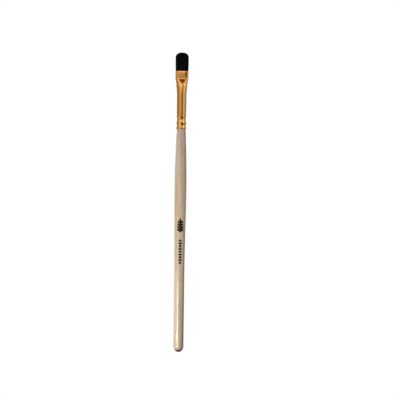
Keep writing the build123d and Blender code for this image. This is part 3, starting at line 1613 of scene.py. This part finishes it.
@dataclass(frozen=True)
class Studio:
    """White studio with soft light all round, lamps on the left, a shade on the right, and the camera.

    Attributes:
        azimuth_light: brightness of the surroundings by azimuth in degrees, 0 in front and 90 to
            the right.
        elevation_light: share of that brightness by elevation in degrees.
        glows: soft patches: light high in front and low on the left, dark low in front.
        lamps: the key light and the soft fill light, both low on the left.
        shade_size: width and height of the dark card low on the right, in metres.
        shade_place: the card's azimuth in degrees, and its distance and middle height in metres.
        floor_height: height of the floor, in metres.
        floor_reach: from the middle of the floor to its sides, in metres.
        lens: focal length of the camera, in millimetres.
        distance: from the camera to the target, in metres.
        target: the point that the camera looks at.
        lean: how far the brush leans to the right in the picture, in degrees.
    """

    azimuth_light: tuple = (
        (-180, (0.20, 0.19, 0.18)), (-163, (0.22, 0.21, 0.20)), (-150, (0.56, 0.56, 0.56)),
        (-132, (0.52, 0.52, 0.52)), (-118, (0.26, 0.25, 0.24)), (-89, (0.27, 0.26, 0.24)),
        (-60, (0.46, 0.44, 0.42)), (-35, (0.67, 0.59, 0.92)), (-15, (0.53, 0.42, 0.62)),
        (-3, (0.56, 0.49, 0.57)), (3, (0.34, 0.25, 0.19)), (10, (0.085, 0.022, 0.004)),
        (25, (0.10, 0.035, 0.008)), (34, (0.46, 0.44, 0.40)), (47, (0.80, 0.81, 0.80)),
        (66, (0.80, 0.82, 0.82)), (82, (0.50, 0.50, 0.52)), (95, (0.34, 0.34, 0.36)),
        (118, (0.28, 0.28, 0.30)), (132, (0.52, 0.52, 0.54)), (150, (0.56, 0.56, 0.57)),
        (163, (0.22, 0.21, 0.20)), (180, (0.20, 0.19, 0.18)),
    )
    elevation_light: tuple = (
        (-90, (0.12, 0.12, 0.12)), (-60, (0.16, 0.16, 0.16)), (-26, (0.24, 0.19, 0.14)),
        (-14, (0.66, 0.64, 0.62)), (-4, (1.0, 1.0, 1.0)), (6, (1.0, 1.0, 1.0)), (15, (1.05, 1.05, 1.05)),
        (24, (1.45, 1.42, 1.38)), (32, (1.9, 1.85, 1.8)), (38, (1.7, 1.6, 1.5)), (43, (0.34, 0.26, 0.16)),
        (47, (0.22, 0.15, 0.08)), (60, (0.42, 0.36, 0.28)), (90, (0.5, 0.5, 0.5)),
    )
    glows: tuple = (
        Glow((4.0, 22.5), (24.0, 11.0), (0.60, 0.53, 0.85)),
        Glow((-58.0, -19.0), (8.0, 5.0), (3.6, 4.4, 9.0)),
        Glow((-2.0, -21.0), (20.0, 9.0), (0.02, 0.008, 0.003), "MIX"),
    )
    lamps: tuple = (
        Lamp("key_light", -32.0, 0.2, (0.077, 0.062), 0.0226, 16.5, (1.0, 0.97, 0.86), True),
        Lamp("fill_light", -78.0, 0.4, (0.3, 0.3), 0.16, 1.15, (0.99, 0.965, 0.98), False),
    )
    shade_size: Pair = (0.13, 0.16)
    shade_place: Triple = (78.0, 0.07, -0.035)
    floor_height: float = -0.6
    floor_reach: float = 4.0
    lens: float = 100.0
    distance: float = 0.6307
    target: Triple = (0.01116, 0.0, 0.0864)
    lean: float = 0.765

    def build_surroundings(self) -> None:
        """Makes the soft light all round, and the white that the camera sees behind the brush."""
        world = bpy.data.worlds.new("soft_studio")
        world.use_nodes = True
        world.node_tree.nodes.clear()
        bpy.context.scene.world = world
        sketch = Sketch(world.node_tree)
        east, north, up = sketch.parts(sketch.add("TexCoord").outputs["Generated"])
        turn = sketch.maths("ARCTAN2", east, sketch.maths("MULTIPLY", north, -1.0))
        rise = sketch.maths("ARCSINE", up)
        around = sketch.maths("ADD", sketch.maths("DIVIDE", turn, 2 * math.pi), 0.5)
        upward = sketch.maths("ADD", sketch.maths("DIVIDE", rise, math.pi), 0.5)
        around_light = sketch.ramp(around, {(angle + 180) / 360: tint for angle, tint in self.azimuth_light})
        upward_light = sketch.ramp(upward, {(angle + 90) / 180: tint for angle, tint in self.elevation_light})
        colour = sketch.mixed(1.0, around_light, upward_light, "MULTIPLY")
        for glow in self.glows:
            colour = sketch.mixed(glow.mask(sketch, turn, rise), colour, (*glow.tint, 1.0), glow.blend)
        light = sketch.add("Background", {"Color": colour})
        backdrop = sketch.add("Background", {"Color": (1.0, 1.0, 1.0, 1.0), "Strength": 1.0})
        seen = sketch.add("LightPath").outputs["Is Camera Ray"]
        mix = sketch.add("MixShader", {0: seen, 1: light.outputs[0], 2: backdrop.outputs[0]})
        sketch.add("OutputWorld", {"Surface": mix.outputs[0]})

    def build_stage_card(self, name: str, corners: list[Vector], tint: Tint, unseen: tuple[str, ...]) -> None:
        """Makes a plain card that is no part of the brush.

        Args:
            name: the card's name.
            corners: its four corners, in metres.
            tint: the light that it gives off.
            unseen: the kinds of ray that pass through it.
        """
        material, sketch = blank_material(name)
        face = sketch.add("Emission", {"Color": (*tint, 1.0), "Strength": 1.0})
        sketch.add("OutputMaterial", {"Surface": face.outputs[0]})
        mesh = bpy.data.meshes.new(name)
        mesh.from_pydata(corners, [], [[0, 1, 2, 3]])
        mesh.materials.append(material)
        card = bpy.data.objects.new(name, mesh)
        bpy.context.scene.collection.objects.link(card)
        for kind in unseen:
            setattr(card, kind, False)

    def build_floor(self) -> None:
        """Lays a plain white floor well below the brush, which glows evenly white and which only the camera
        sees.
        """
        corners = [Vector((x * self.floor_reach, y * self.floor_reach, self.floor_height)) for x, y in SQUARE]
        unseen = ("visible_diffuse", "visible_glossy", "visible_transmission", "visible_shadow")
        self.build_stage_card("floor", corners, (1.0, 1.0, 1.0), unseen)

    def build_shade(self) -> None:
        """Stands a dark card low on the right, which shades that side of the shank."""
        centre = round_axis(*self.shade_place)
        across = round_axis(self.shade_place[0] + 90.0, self.shade_size[0] / 2, 0.0)
        up = Vector((0.0, 0.0, self.shade_size[1] / 2))
        corners = [centre + across * right + up * above for right, above in SQUARE]
        self.build_stage_card("shade", corners, (0.0, 0.0, 0.0), ("visible_camera", "visible_glossy"))

    def build_camera(self) -> None:
        """Puts the camera level in front of the brush, with the picture's slight lean."""
        data = bpy.data.cameras.new("camera")
        data.lens = self.lens
        camera = bpy.data.objects.new("camera", data)
        lean = math.radians(self.lean)
        up = Vector((-math.sin(lean), 0.0, math.cos(lean)))
        back = Vector((0.0, -1.0, 0.0))
        turn = Matrix((up.cross(back), up, back)).transposed().to_4x4()
        place = Vector(self.target) + back * self.distance
        camera.matrix_world = Matrix.Translation(place) @ turn
        bpy.context.scene.collection.objects.link(camera)
        bpy.context.scene.camera = camera

    def build(self) -> None:
        """Builds the whole studio."""
        bpy.context.scene.view_settings.view_transform = "Standard"
        self.build_surroundings()
        for lamp in self.lamps:
            lamp.hang()
        self.build_floor()
        self.build_shade()
        self.build_camera()


def write_sizes() -> None:
    """Brings the scene's placements up to date."""
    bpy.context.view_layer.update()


def main() -> None:
    """Builds the brush and its studio in order."""
    logging.basicConfig(level=logging.INFO, format="%(name)s: %(message)s")
    effects = Effects.build()
    places = Places.read()
    ferrule = FerruleTube(places)
    ferrule.build(BrightMetal().make(effects))
    handle = TurnedHandle(places, ferrule)
    handle.build(LacqueredWood().make(effects))
    PrintedMarks(handle).build(PRINTING_INK.make(effects))
    HairTuft(places, ferrule).build(DarkHair().make(effects))
    HiddenFillings().dress(effects)
    Studio().build()
    write_sizes()


if __name__ == "__main__":
    main()
